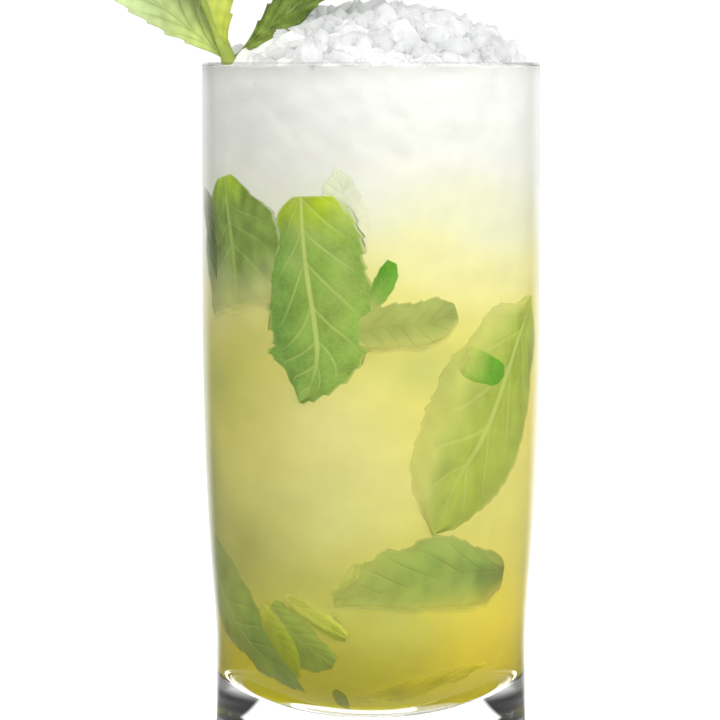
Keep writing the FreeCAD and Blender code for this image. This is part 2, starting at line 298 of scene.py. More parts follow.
def makeStudio(settings):
    scene = bpy.context.scene
    scene.view_settings.view_transform = "Standard"
    world = bpy.data.worlds.new("studio")
    scene.world = world
    world.use_nodes = True
    tree = world.node_tree
    tree.nodes.clear()
    # white all round
    direction = node(tree, "TexCoord").outputs["Generated"]
    parts = node(tree, "SeparateXYZ", Vector=direction)
    seen = node(tree, "LightPath").outputs["Is Camera Ray"]
    more = settings["backdrop"] - settings["worldStrength"]
    strength = maths(tree, "MULTIPLY_ADD", seen, more, settings["worldStrength"])
    # reflections of the front of the studio are dim, those of its back are bright
    notBehind = stepped(tree, parts.outputs[1], *settings["behind"])
    front = maths(tree, "MULTIPLY", notBehind, stepped(tree, parts.outputs[2], *settings["low"]))
    mirrored = maths(tree, "MULTIPLY", node(tree, "LightPath").outputs["Is Glossy Ray"], front)
    dimmed = maths(tree, "MULTIPLY_ADD", mirrored, settings["mirrored"] - 1, 1.0)
    strength = maths(tree, "MULTIPLY", strength, dimmed)
    background = node(tree, "Background", Color=(1, 1, 1, 1), Strength=strength)
    output = node(tree, "OutputWorld")
    tree.links.new(background.outputs[0], output.inputs[0])
    for name, (location, size, power) in settings["lamps"].items():
        data = bpy.data.lights.new(name, "AREA")
        data.size = size
        data.energy = power
        lamp = bpy.data.objects.new(name, data)
        bpy.context.collection.objects.link(lamp)
        lamp.location = location
        lamp.visible_glossy = False
        aim = np.array([0, 0, rimHeight * mm * settings["lampAim"]])
        lamp.rotation_euler = turnTowards(aim - np.array(location))
    # the floor is pale; seen through the glass it is painted dark at both sides, standing in for a studio's
    # black cards, and in reflections it is painted dim except straight behind the glass
    floorMaterial, tree, surface, _ = newMaterial("studioFloor")
    parts = node(tree, "SeparateXYZ", Vector=node(tree, "TexCoord").outputs["Object"])
    aside = maths(tree, "ABSOLUTE", parts.outputs[0])
    back = maths(tree, "MULTIPLY", parts.outputs[1], settings["cardSlope"])
    spot = node(tree, "TexCoord").outputs["Object"]
    far = node(tree, "VectorMath", {"operation": "LENGTH"}, i0=spot).outputs["Value"]
    paintedDark = stepped(tree, maths(tree, "SUBTRACT", aside, back), 0.0, settings["cardSoft"])
    paintedDark = maths(tree, "MULTIPLY", paintedDark, stepped(tree, far, *settings["cardNear"]))
    paintedDark = maths(tree, "MULTIPLY", paintedDark, stepped(tree, far, *settings["cardFar"]))
    through = node(tree, "LightPath").outputs["Is Transmission Ray"]
    paintedDark = maths(tree, "MULTIPLY", paintedDark, through)
    backward = maths(tree, "DIVIDE", parts.outputs[1], far)
    glossy = node(tree, "LightPath").outputs["Is Glossy Ray"]
    ahead = maths(tree, "MULTIPLY", stepped(tree, backward, *settings["behind"]), glossy)
    paintedDark = maths(tree, "MAXIMUM", paintedDark, maths(tree, "MULTIPLY", ahead, 1 - settings["mirrored"]))
    tone, paintedShade = (rgba([settings[key]] * 3) for key in ("floorTone", "cardTone"))
    colour = mixColours(tree, paintedDark, tone, paintedShade)
    tree.links.new(colour, surface.inputs["Base Color"])
    surface.inputs["Roughness"].default_value = 0.6
    surface.inputs["Specular IOR Level"].default_value = 0.0
    surface.inputs["Emission Color"].default_value = (1, 1, 1, 1)
    # it glows softly all over, and seen through the glass it glows more right under it, a painted glow as on a
    # light table
    table = maths(tree, "MULTIPLY", through, settings["tableGlow"])
    table = maths(tree, "MULTIPLY", stepped(tree, far, *settings["tableReach"]), table)
    glow = maths(tree, "MULTIPLY", maths(tree, "SUBTRACT", 1.0, paintedDark), settings["floorGlow"])
    table = maths(tree, "MULTIPLY", table, maths(tree, "SUBTRACT", 1.0, paintedDark))
    tree.links.new(maths(tree, "ADD", glow, table), surface.inputs["Emission Strength"])
    mesh = bpy.data.meshes.new("floor")
    half, under = settings["floorHalf"], settings["floorUnder"] * mm
    corners = [[-half, -half, -under], [half, -half, -under], [half, half, -under], [-half, half, -under]]
    mesh.from_pydata(corners, [], [[0, 1, 2, 3]])
    floor = bpy.data.objects.new("floor", mesh)
    bpy.context.collection.objects.link(floor)
    floor.data.materials.append(floorMaterial)


def turnTowards(direction):
    # the rotation that points a lamp's -Z along this direction
    return Vector(direction).to_track_quat("-Z", "Y").to_euler()


makeCamera(cameraSettings)
makeStudio(lightSettings)
print("camera, lamps and floor made")


glassSettings = {
    "footRadius": 28.0,
    "baseRadius": 31.3,      # from the heel up to the start of the taper
    "heelHeight": 6.0,
    "taperStart": 24.0,
    "taperEnd": 92.0,
    "pullLow": 10.0,         # how far the taper's inner poles lie from its ends
    "pullHigh": 46.0,
    "wallRim": 1.4,          # the wall's thickness at the rim
    "wallBase": 2.6,
    "floor": 10.0,           # the solid base's height in the middle
    "bowlDepth": 23.0,       # from there up to the start of the wall
    "dryRim": 1.2,           # the glass is dry this far down from the rim
    "segments": 180,
    "ior": 1.46,
    "tint": (0.985, 0.99, 0.985),
    "smudge": 0.03,          # roughness of the faint smudges
}


def innerProfile(s):
    # radius and height up the inside: a bowl from the middle of the floor, then the wall, each a Bezier curve
    r = s["baseRadius"] - s["wallBase"]
    top = s["floor"] + s["bowlDepth"]
    bowl = bezier([(0, s["floor"]), (0.48 * r, s["floor"]), (0.87 * r, s["floor"] + 0.24 * s["bowlDepth"]),
                   (r, s["floor"] + 0.54 * s["bowlDepth"]), (r, top)], 48)
    inner = rimRadius - s["wallRim"]
    wall = bezier([(r, top), (r, top + s["pullLow"]), (inner, s["taperEnd"] - s["pullHigh"]),
                   (inner, s["taperEnd"])], 40)
    upper = [(inner, h) for h in np.linspace(s["taperEnd"], rimHeight - s["wallRim"] / 2, 12)]
    return np.concatenate([bowl, wall[1:], upper[1:]])


innerWall = innerProfile(glassSettings)


def innerAt(height):
    # radius of the inside of the glass at a height
    return np.interp(height, innerWall[:, 1], innerWall[:, 0])


def makeGlass(s):
    # the outside from the foot up, a half circle over the rim, and the inside down to the floor, turned
    run = s["baseRadius"] - s["footRadius"]
    foot = [(0, 0), (0.5 * s["footRadius"], 0), (s["footRadius"], 0)]
    heel = bezier([(s["footRadius"], 0), (s["footRadius"] + 0.62 * run, 0.10 * s["heelHeight"]),
                   (s["baseRadius"], 0.42 * s["heelHeight"]), (s["baseRadius"], s["heelHeight"])], 28)
    lower = bezier([(s["baseRadius"], s["taperStart"]), (s["baseRadius"], s["taperStart"] + s["pullLow"]),
                    (rimRadius, s["taperEnd"] - s["pullHigh"]), (rimRadius, s["taperEnd"])], 48)
    lip = s["wallRim"] / 2
    upper = [(rimRadius, h) for h in np.linspace(s["taperEnd"], rimHeight - lip, 12)]
    turns = np.linspace(0, math.pi, 12)[1:-1]
    rim = np.stack([rimRadius - lip + lip * np.cos(turns), rimHeight - lip + lip * np.sin(turns)], -1)
    profile = np.concatenate([foot, heel[1:], lower, upper[1:], rim, innerWall[::-1]])
    points, faces = turned(profile[:, 0], profile[:, 1], s["segments"])
    # wet is 1 on the inside under the ice's edge, where the drink takes away the glass's own mirroring, and
    # -1 on the rim
    outer = len(profile) - len(innerWall) - len(rim)
    rows = np.concatenate([np.zeros(outer), -np.ones(len(rim)), innerWall[::-1, 1] < rimHeight - s["dryRim"]])
    wet = np.concatenate([rows[:1], np.repeat(rows[1:-1], s["segments"]), rows[-1:]])
    return makePiece("highballGlass", points, faces, marks=("wet", wet))


def clearMaterial(name, settings):
    # a clear material that refracts: for shadow rays it lets the light through, and where the drink wets the
    # glass nothing mirrors; only the glass, which has smudges, is dry anywhere
    material, tree, surface, output = newMaterial(name)
    smudge = settings.get("smudge")
    surface.inputs["Base Color"].default_value = rgba(settings["tint"])
    surface.inputs["Transmission Weight"].default_value = 1.0
    surface.inputs["IOR"].default_value = settings["ior"]
    surface.inputs["Roughness"].default_value = 0.0
    # light already scattered by the drink is mirrored back into it all the same
    mirror = maths(tree, "MINIMUM", node(tree, "LightPath").outputs["Diffuse Depth"], 1.0)
    passing = node(tree, "LightPath").outputs["Is Shadow Ray"]
    if smudge:
        # the thin rim lets most light straight on, or it would be a black ring
        mark = node(tree, "Attribute", {"attribute_name": "wet"}).outputs["Fac"]
        dry = maths(tree, "MINIMUM", maths(tree, "SUBTRACT", 1.0, mark), 1.0)
        mirror = maths(tree, "MAXIMUM", mirror, dry)
        passing = maths(tree, "MAXIMUM", passing, maths(tree, "MULTIPLY", mark, -0.8))
        noise = objectNoise(tree, 14.0)
        rough = stepped(tree, noise.outputs["Fac"], 0.45, 0.75, 0.0, smudge)
        tree.links.new(rough, surface.inputs["Roughness"])
        ripple = objectNoise(tree, 30.0, detail=1.0)
        roughen(tree, surface, ripple.outputs["Fac"], 0.15, 0.2)
    tree.links.new(mirror, surface.inputs["Specular Tint"])
    through = node(tree, "BsdfTransparent", Color=rgba(np.sqrt(settings["tint"])))
    mixShaders(tree, passing, surface, through, output)
    return material


clearGlass = clearMaterial("clearGlass", glassSettings)
glass = dress(makeGlass(glassSettings), clearGlass, "glass", "glass")
print("glass made:", len(glass.data.polygons), "faces")


filmSettings = {
    "intoWall": 0.12,        # the film reaches this far into the glass, so no air shows
    "topDrop": 0.8,          # its upper edge, under the rim
    "depth": [(0, 0.3), (14, 0.45), (28, 0.9), (48, 1.2), (92, 1.2), (112, 0.9), (124, 0.5), (134, 0.3)],
    "ior": 1.46,             # the glass's own, so the bowl bends no light
    "tint": (0.985, 0.985, 0.955),
    "segments": 160,
}


def filmDepth(drop):
    # how far the cloudy body lies behind the inside of the glass: drop and depth pairs
    return np.interp(drop, *np.array(filmSettings["depth"]).T)


def makeFilm(s):
    # the clear liquid: the glass's inside, a little larger, up to its edge, then down inside the ice
    top = rimHeight - s["topDrop"]
    rows = innerWall[innerWall[:, 1] < top - 0.3]
    outside = rows + [s["intoWall"], 0]
    outside[:, 1] -= s["intoWall"] * smooth(rows[:, 0], 28.0, 5.0)
    outside[0, 0] = 0
    edge = innerAt(top)
    lip = [(edge + s["intoWall"], top), (edge - 0.2, top - 0.15), (edge - 0.7, top - 0.5),
           (edge - 3, top - 4), (edge - 12, top - 12), (0, top - 16)]
    profile = np.concatenate([outside, lip])
    points, faces = turned(profile[:, 0], profile[:, 1], s["segments"])
    return makePiece("clearFilm", points, faces)


cloudSettings = {
    # drop under the rim and the colour there, from the ice down to the bottom of the drink
    "ramp": [(0, (232, 232, 230)), (18, (229, 228, 224)), (24, (228, 228, 216)), (29, (227, 226, 204)),
             (35, (226, 225, 190)), (40, (228, 223, 166)), (46, (226, 219, 142)), (52, (221, 214, 122)),
             (60, (215, 207, 108)), (72, (215, 206, 112)), (85, (213, 207, 120)), (95, (211, 205, 112)),
             (105, (207, 199, 88)), (115, (208, 192, 66)), (122, (215, 201, 44)), (128, (219, 207, 30)),
             (136, (223, 211, 40))],
    # soft fields of colour in the cloud: angle, drop, half width (degrees), half height, tilt, colour and
    # strength
    "fields": [
        (62, 112, 34, 20, 0, (228, 204, 70), 0.55),
        (-10, 120, 40, 9, 0, (182, 176, 58), 0.55),
        (-18, 78, 26, 18, 0, (222, 220, 160), 0.55),
        (-84, 92, 14, 24, 0, (158, 162, 82), 0.75),
        (-60, 98, 24, 12, 10, (166, 168, 92), 0.55),
        (-5, 108, 34, 9, 0, (172, 180, 98), 0.55),
        (22, 60, 16, 5, 0, (178, 188, 112), 0.45),
        (-62, 60, 24, 12, 0, (172, 176, 92), 0.55),
        (75, 72, 16, 22, 0, (238, 220, 112), 0.55),
        (150, 70, 30, 16, 0, (176, 182, 104), 0.45),
        (205, 100, 34, 14, 0, (170, 178, 96), 0.5),
        (250, 60, 24, 16, 0, (176, 182, 104), 0.45),
        (110, 96, 24, 14, 0, (170, 176, 92), 0.5),
    ],
}


def cloudColour(angle, drop):
    # the colour of the cloudy drink or the ice at a place: the ramp over an uneven drop, then the soft fields
    angle, drop = np.broadcast_arrays(np.asarray(angle, float), np.asarray(drop, float))
    spot = place(angle, drop, 30.0)
    uneven = drop + 4.5 * waves(spot, 46, 3) * smooth(drop, 8, 30) + 1.4 * waves(spot, 15, 4)
    stops = np.array([stop for stop, _ in cloudSettings["ramp"]], float)
    colours = np.array([paint(*colour) for _, colour in cloudSettings["ramp"]])
    result = np.stack([np.interp(uneven, stops, colours[:, k]) for k in range(3)], -1)
    for centre, level, wide, high, tilt, colour, strength in cloudSettings["fields"]:
        across = (angle - centre + 180) % 360 - 180
        down = drop - level - across * math.tan(math.radians(tilt)) * 0.57
        share = strength * np.exp(-(across / wide) ** 2 - (down / high) ** 2)
        share = share * (1 + 0.25 * waves(spot, 22, int(level)))
        result = result + np.clip(share, 0, 1)[..., None] * (paint(*colour) - result)
    return result * (1 + 0.02 * waves(spot, 8, 9))[..., None]


def setIn(profile):
    # a profile of radius and height moved inwards along its own normal by the film's depth
    along = np.gradient(profile, axis=0)
    along /= np.linalg.norm(along, axis=1)[:, None]
    inwards = np.stack([-along[:, 1], along[:, 0]], -1)
    return profile + inwards * filmDepth(rimHeight - profile[:, 1])[:, None]


def makeCloud(segments=220):
    # the cloudy body: the glass's inside less the film's depth, closed by a flat disc at the drink's level
    share = np.linspace(0, 1, 170) ** 1.3
    length = np.concatenate([[0], np.cumsum(np.linalg.norm(np.diff(innerWall, axis=0), axis=1))])
    dense = np.stack([np.interp(share * length[-1], length, innerWall[:, k]) for k in (0, 1)], -1)
    body = setIn(dense)
    body = body[body[:, 1] < drinkTop]
    body[0, 0] = 0
    cap = [(body[-1, 0] - 0.3, drinkTop), (0.6 * body[-1, 0], drinkTop), (0, drinkTop)]
    profile = np.concatenate([body, cap])
    points, faces = turned(profile[:, 0], profile[:, 1], segments)
    return makePiece("cloudyDrink", points, faces, tint=cloudTint(points))


def cloudTint(points):
    # the cloud's colour at each point, with an alpha of 1
    angles = np.degrees(np.arctan2(points[:, 0], -points[:, 1]))
    colours = cloudColour(angles, rimHeight - points[:, 2])
    return np.concatenate([colours, np.ones((len(points), 1))], 1)


def cloudMaterial(name):
    # the colour comes from the piece's own tint, with pulp and fine bubbles as noise, and a painted glow low in
    # the drink
    material, tree, surface, _ = newMaterial(name)
    tint = node(tree, "Attribute", {"attribute_name": "tint"}).outputs["Color"]
    pulp = stepped(tree, objectNoise(tree, 3.0, detail=5.0).outputs["Fac"], 0.3, 0.7, 0.985, 1.02)
    colour = node(tree, "HueSaturation", Color=tint, Value=pulp).outputs[0]
    tree.links.new(colour, surface.inputs["Base Color"])
    paintGlowLow(tree, surface, colour, 1.0)
    surface.inputs["Roughness"].default_value = 0.55
    surface.inputs["Specular IOR Level"].default_value = 0.0
    fine = objectNoise(tree, 5.0, detail=4.0)
    roughen(tree, surface, fine.outputs["Fac"], 0.2, 0.3)
    return material


clearLiquid = clearMaterial("clearLiquid", filmSettings)
film = dress(makeFilm(filmSettings), clearLiquid, "drink", "drink")
cloud = dress(makeCloud(), cloudMaterial("cloudyLimeDrink"), "drink", "drink")
print("drink made:", len(film.data.polygons) + len(cloud.data.polygons), "faces")


iceSettings = {
    "heapHeight": 9.5,
    "heapSink": 1.5,         # how far the heap's body starts under the rim
    "heapLean": 5.0,         # how far its top lies to the right
    "heapInset": 2.0,        # its gap from the wall
    "domePower": 3.1,        # higher is a flatter top with steeper sides
    "coreUnder": 0.2,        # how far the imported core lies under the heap's surface
    "edgeDrop": 0.9,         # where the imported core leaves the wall, under the rim
    "chips": 1600,
    "chipSizes": (0.5, 2.3),  # radius of the smallest and largest chips
    "chipPower": 2.8,        # higher makes more of them small
    "chipSink": (-0.75, 0.25),  # how deep and how high they lie, in radii
    "chipKeep": 1.5,         # how far they keep from the wall, in radii
    "highest": 13.4,         # no chip stands higher over the rim
    "seed": 12,
}


def heapTop(x, y):
    # height of the heap's body: a low dome whose top lies a little to the right
    s = iceSettings
    inner = rimRadius - glassSettings["wallRim"] - s["heapInset"]
    out = np.hypot(x, y) / inner
    share = np.minimum(1, np.hypot(x - s["heapLean"] * (1 - out), y) / inner)
    return rimHeight - s["heapSink"] + (s["heapHeight"] + s["heapSink"]) * (1 - share ** s["domePower"])


def makeIceCore(s, segments=200):
    # packed ice: up the wall behind the film, then over the heap; relief is a sum of waves
    low = drinkTop - 9.0
    side = np.linspace(low, rimHeight - s["edgeDrop"], 60)
    sideRadii = innerAt(side) - filmDepth(rimHeight - side) - 0.35 * smooth(side, drinkTop - 0.5, low) + 0.01
    inward = np.linspace(1, 0, 30)[1:]
    radii = np.concatenate([[0, 0.6 * sideRadii[0]], sideRadii, inward * sideRadii[-1]])
    heights = np.concatenate([[low, low], side, np.full(len(inward), side[-1])])
    points, faces = turned(radii, heights, segments)
    top = len(points) - 1 - (len(inward) - 1) * segments
    x, y = points[top:, 0], points[top:, 1]
    dome = heapTop(x, y) - s["coreUnder"]
    dome = dome + 0.5 * waves(points[top:], 7, 21) + 0.3 * waves(points[top:], 2.5, 22)
    points[top:, 2] = np.maximum(dome, side[-1] - 0.4 + 0.2 * waves(points[top:], 3, 25))
    wall = slice(1 + segments, top)
    relief = 0.10 * waves(points[wall], 6, 23) + 0.06 * waves(points[wall], 2.5, 24)
    share = smooth(points[wall, 2], drinkTop, drinkTop + 6)
    points[wall, :2] *= (1 + relief * share / 32)[:, None]
    return makePiece("packedIce", points, faces, tint=cloudTint(points))


def stones(centres, sizes, seed, rings=6, segments=10, planes=9, sharp=9.0):
    # rounded flat-sided stones: in each direction d the radius is (sum of max(0, n.d / h)^p)^(-1/p) over
    # planes with normals n at distances h, so a high p leaves flat sides with narrow rounded edges
    chance = np.random.default_rng(seed)
    count = len(centres)
    polar = np.linspace(0, math.pi, rings + 2)[1:-1]
    turn = np.arange(segments) * 2 * math.pi / segments
    ring = np.stack([np.sin(polar)[:, None] * np.cos(turn), np.sin(polar)[:, None] * np.sin(turn),
                     np.broadcast_to(-np.cos(polar)[:, None], (rings, segments))], -1).reshape(-1, 3)
    directions = np.concatenate([[[0, 0, -1]], ring, [[0, 0, 1]]])
    axes = np.concatenate([np.eye(3), -np.eye(3)])
    normals = np.concatenate([np.broadcast_to(axes, (count, 6, 3)) + chance.normal(0, 0.28, (count, 6, 3)),
                              chance.normal(size=(count, planes - 6, 3))], 1)
    normals /= np.linalg.norm(normals, axis=2)[..., None]
    distances = chance.uniform(0.62, 1.05, (count, planes))
    dots = np.einsum("nkc,mc->nkm", normals, directions) / distances[..., None]
    radii = (np.maximum(dots, 0) ** sharp).sum(1) ** (-1 / sharp)
    local = radii[..., None] * directions * chance.uniform(0.7, 1.25, (count, 1, 3))
    spin, _ = np.linalg.qr(chance.normal(size=(count, 3, 3)))
    spin *= np.sign(np.linalg.det(spin))[:, None, None]
    local = np.einsum("nij,nmj->nmi", spin, local)
    points = centres[:, None] + local * np.asarray(sizes)[:, None, None]
    each = closedFaces(rings, segments)
    step = np.arange(count)[:, None, None] * len(directions)
    faces = [(part[None] + step).reshape(-1, part.shape[1]) for part in each]
    return points.reshape(-1, 3), faces


def makeChips(s):
    # chips lie at chance places over the heap's surface, the larger ones deeper in it
    chance = np.random.default_rng(s["seed"])
    small, large = s["chipSizes"]
    sizes = small + (large - small) * chance.random(s["chips"]) ** s["chipPower"]
    inner = rimRadius - glassSettings["wallRim"]
    reach = (inner - sizes * s["chipKeep"]) * np.sqrt(chance.random(s["chips"]))
    turn = chance.uniform(0, 2 * math.pi, s["chips"])
    x, y = reach * np.cos(turn), reach * np.sin(turn)
    # near the sprig they are smaller and lie lower
    sprigSide = np.exp(-(((x + 25) / 9) ** 2 + ((y + 8) / 11) ** 2))
    sizes = sizes * (1 - 0.45 * sprigSide)
    z = heapTop(x, y) + chance.uniform(*s["chipSink"], s["chips"]) * sizes - 1.5 * sprigSide
    centres = np.stack([x, y, np.minimum(z, rimHeight + s["highest"] - sizes)], -1)
    points, faces = stones(centres, sizes, s["seed"] + 1)
    return makePiece("crushedIceChips", points, faces)


def iceMaterial(name, settings):
    # frosty ice: white, letting light through, wet and smooth in places and frosted in others
    material, tree, surface, output = newMaterial(name)
    frost = objectNoise(tree, 2.2, detail=4.0).outputs["Fac"]
    share = stepped(tree, frost, 0.35, 0.65)
    colour = mixColours(tree, share, rgba(settings["clear"]), rgba(settings["frosted"]))
    tree.links.new(colour, surface.inputs["Base Color"])
    rough = stepped(tree, frost, 0.35, 0.65, 0.25, 0.5)
    tree.links.new(rough, surface.inputs["Roughness"])
    surface.inputs["IOR"].default_value = settings["ior"]
    fine = objectNoise(tree, 0.9, detail=3.0)
    roughen(tree, surface, fine.outputs["Fac"], 0.2, 0.2)
    mix = mixShaders(tree, settings["through"], surface, node(tree, "BsdfTranslucent", Color=colour))
    passing = maths(tree, "MULTIPLY", node(tree, "LightPath").outputs["Is Shadow Ray"], settings["passing"])
    mixShaders(tree, passing, mix, node(tree, "BsdfTransparent"), output)
    return material


iceLook = {
    "passing": 0.65,         # how much light goes straight on through a chip
    "clear": paint(232, 233, 233),
    "frosted": paint(239, 239, 239),
    "through": 0.62,         # how much light a chip scatters to its far side
    "ior": 1.31,
}

packedIce = dress(makeIceCore(iceSettings), cloudMaterial("packedIce"), "ice", "crushed_ice")
chips = dress(makeChips(iceSettings), iceMaterial("crushedIce", iceLook), "ice", "crushed_ice")
print("ice made:", len(packedIce.data.polygons) + len(chips.data.polygons), "faces")


def veinRelief(s, t, pairs=7):
    # 1 between the veins and 0 on them: side veins leave the midrib and bend towards the tip
    phase = (s - 0.26 * np.abs(t) ** 0.85) * pairs
    puff = np.abs(np.sin(math.pi * phase)) ** 0.7
    return puff * smooth(np.abs(t), 0.0, 0.14) * (1 - np.abs(t) ** 5)


def leafTeeth(s, t, teeth, depth):
    # the margin widens towards each tooth's point and steps back after it
    saw = (s * teeth) % 1.0
    ends = smooth(s, 0.06, 0.2) * smooth(s, 1.0, 0.93)
    return depth * (saw ** 1.5 - 0.5) * np.sign(t) * np.abs(t) ** 5 * ends


def leafMaterial(name, settings):
    # tint is the leaf's own colour already mixed with the drink in front of it, and its alpha is how much drink
    # that is: where there is much the leaf fades out. The attribute veins says how clearly the veins show.
    material, tree, surface, output = newMaterial(name)
    tint = node(tree, "Attribute", {"attribute_name": "tint"})
    clear = node(tree, "Attribute", {"attribute_name": "veins"}).outputs["Fac"]
    surfaceMap = node(tree, "UVMap", {"uv_map": "surface"}).outputs[0]
    parts = node(tree, "SeparateXYZ", Vector=surfaceMap)
    along = parts.outputs[0]
    across = maths(tree, "ABSOLUTE", maths(tree, "MULTIPLY_ADD", parts.outputs[1], 2.0, -1.0))
    lead = maths(tree, "MULTIPLY", maths(tree, "POWER", across, 0.85), 0.26)
    phase = maths(tree, "MULTIPLY", maths(tree, "SUBTRACT", along, lead), 7.0)
    near = maths(tree, "PINGPONG", phase, 0.5)
    sideVeins = stepped(tree, near, 0.10, 0.02)
    fade = stepped(tree, across, 0.95, 0.35)
    sideVeins = maths(tree, "MULTIPLY", sideVeins, fade)
    midrib = stepped(tree, across, 0.062, 0.024)
    midrib = maths(tree, "MULTIPLY", midrib, stepped(tree, along, 0.92, 0.55, 0.25, 1.0))
    if settings["through"] == 0:
        hidden = stepped(tree, tint.outputs["Alpha"], *settings["fadesOut"], 1.0, 0.0)
        tree.links.new(hidden, surface.inputs["Alpha"])
    coordinates = node(tree, "TexCoord").outputs["Object"]
    netScale = 1 / (settings["netSize"] * mm)
    net = node(tree, "TexVoronoi", {"feature": "DISTANCE_TO_EDGE"}, Vector=coordinates, Scale=netScale)
    netLines = stepped(tree, net.outputs["Distance"], 0.12, 0.0)
    veins = maths(tree, "MAXIMUM", midrib, maths(tree, "MULTIPLY", sideVeins, settings["sideVeins"]))
    veins = maths(tree, "MAXIMUM", veins, maths(tree, "MULTIPLY", netLines, settings["net"]))
    veins = maths(tree, "MULTIPLY", veins, clear)
    veins = maths(tree, "MULTIPLY", veins, settings["veins"])
    patches = objectNoise(tree, 5.0, detail=4.0).outputs["Fac"]
    light = stepped(tree, patches, 0.25, 0.75, -settings["patches"], settings["patches"])
    light = maths(tree, "MULTIPLY_ADD", light, clear, 1.0)
    colour = node(tree, "HueSaturation", Color=tint.outputs["Color"], Value=light).outputs[0]
    colour = mixColours(tree, veins, colour, rgba(settings["veinColour"]))
    tree.links.new(colour, surface.inputs["Base Color"])
    rough = stepped(tree, patches, 0.3, 0.7, settings["rough"] - 0.08, settings["rough"] + 0.1)
    tree.links.new(rough, surface.inputs["Roughness"])
    surface.inputs["Specular IOR Level"].default_value = settings["gloss"]
    height = maths(tree, "SUBTRACT", maths(tree, "MULTIPLY", net.outputs["Distance"], 0.5), sideVeins)
    roughen(tree, surface, height, settings["bump"], 0.3)
    if settings["through"] == 0:
        # a painted glow low in the drink, as in the cloud
        paintGlowLow(tree, surface, colour, settings["glow"])
        # the cloudy drink scatters so much light that a leaf in it throws no shadow
        shadow = node(tree, "LightPath").outputs["Is Shadow Ray"]
        mixShaders(tree, shadow, surface, node(tree, "BsdfTransparent"), output)
    else:
        behind = node(tree, "BsdfTranslucent", Color=colour)
        mixShaders(tree, settings["through"], surface, behind, output)
    return material


sunkLook = {
    "veinColour": paint(200, 212, 120),
    "veins": 0.75, "sideVeins": 0.55, "net": 0.16, "netSize": 1.5, "patches": 0.10,
    "rough": 0.5, "gloss": 0.05, "bump": 0.25, "through": 0.0,
    "fadesOut": (0.45, 0.85),  # the haze from which a leaf starts to fade out, and where it is gone
    # how much of the painted glow low in the drink a sunk leaf gets
    "glow": 0.9,
    "thickness": 0.08,
}
